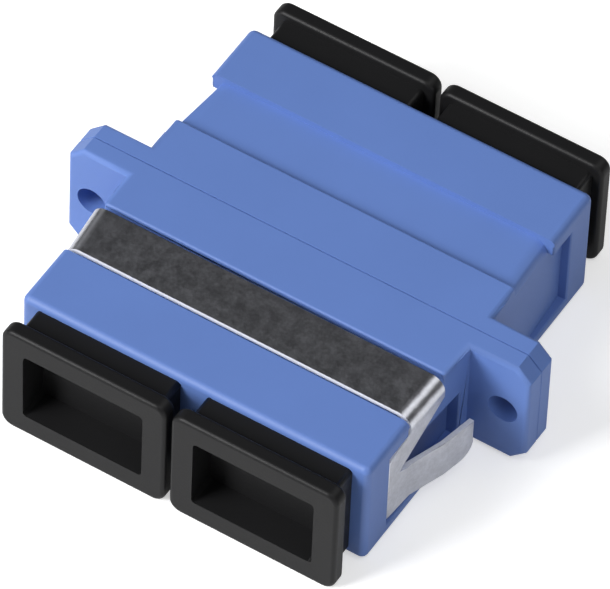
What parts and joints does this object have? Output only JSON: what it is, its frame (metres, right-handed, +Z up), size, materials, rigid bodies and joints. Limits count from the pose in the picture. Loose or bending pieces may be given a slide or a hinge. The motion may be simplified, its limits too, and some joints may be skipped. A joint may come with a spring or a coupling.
{
  "type": "duplex fibre optic adapter",
  "caption": "Flanged duplex fibre coupler: plastic housing, sprung steel panel clip and a pull-out dust cap in each mouth.",
  "frame": {"origin": "middle of the flange, halfway between the two ear holes, on the weld plane", "axes": "+X across both ports, +Y along the ports away from the clip, +Z up through the clip's top strip"},
  "size_m": [0.0346, 0.0334, 0.0095],
  "materials": {
    "housing_plastic": "moulded, satin",
    "clip_steel": "rolled stainless sheet",
    "cap_plastic": "moulded, fine grain",
    "insert_plastic": "moulded",
    "sleeve_ceramic": "ground and polished"
  },
  "bodies": {
    "adapter": {"front_housing": "housing_plastic", "rear_housing": "housing_plastic", "mounting_clip": "clip_steel", "latch_insert_front_left": "insert_plastic", "latch_insert_front_right": "insert_plastic", "latch_insert_rear_left": "insert_plastic", "latch_insert_rear_right": "insert_plastic", "alignment_sleeve_left": "sleeve_ceramic", "alignment_sleeve_right": "sleeve_ceramic"},
    "cap_front_left": {"dust_cap_front_left": "cap_plastic"},
    "cap_front_right": {"dust_cap_front_right": "cap_plastic"},
    "cap_rear_left": {"dust_cap_rear_left": "cap_plastic"},
    "cap_rear_right": {"dust_cap_rear_right": "cap_plastic"}
  },
  "joints": [
    {"name": "cap_front_left_pull", "type": "slide", "parent": "adapter", "child": "cap_front_left", "axis": [0, -1, 0], "range_m": [0, 0.02]},
    {"name": "cap_front_right_pull", "type": "slide", "parent": "adapter", "child": "cap_front_right", "axis": [0, -1, 0], "range_m": [0, 0.02]},
    {"name": "cap_rear_left_pull", "type": "slide", "parent": "adapter", "child": "cap_rear_left", "axis": [0, 1, 0], "range_m": [0, 0.02]},
    {"name": "cap_rear_right_pull", "type": "slide", "parent": "adapter", "child": "cap_rear_right", "axis": [0, 1, 0], "range_m": [0, 0.02]}
  ]
}
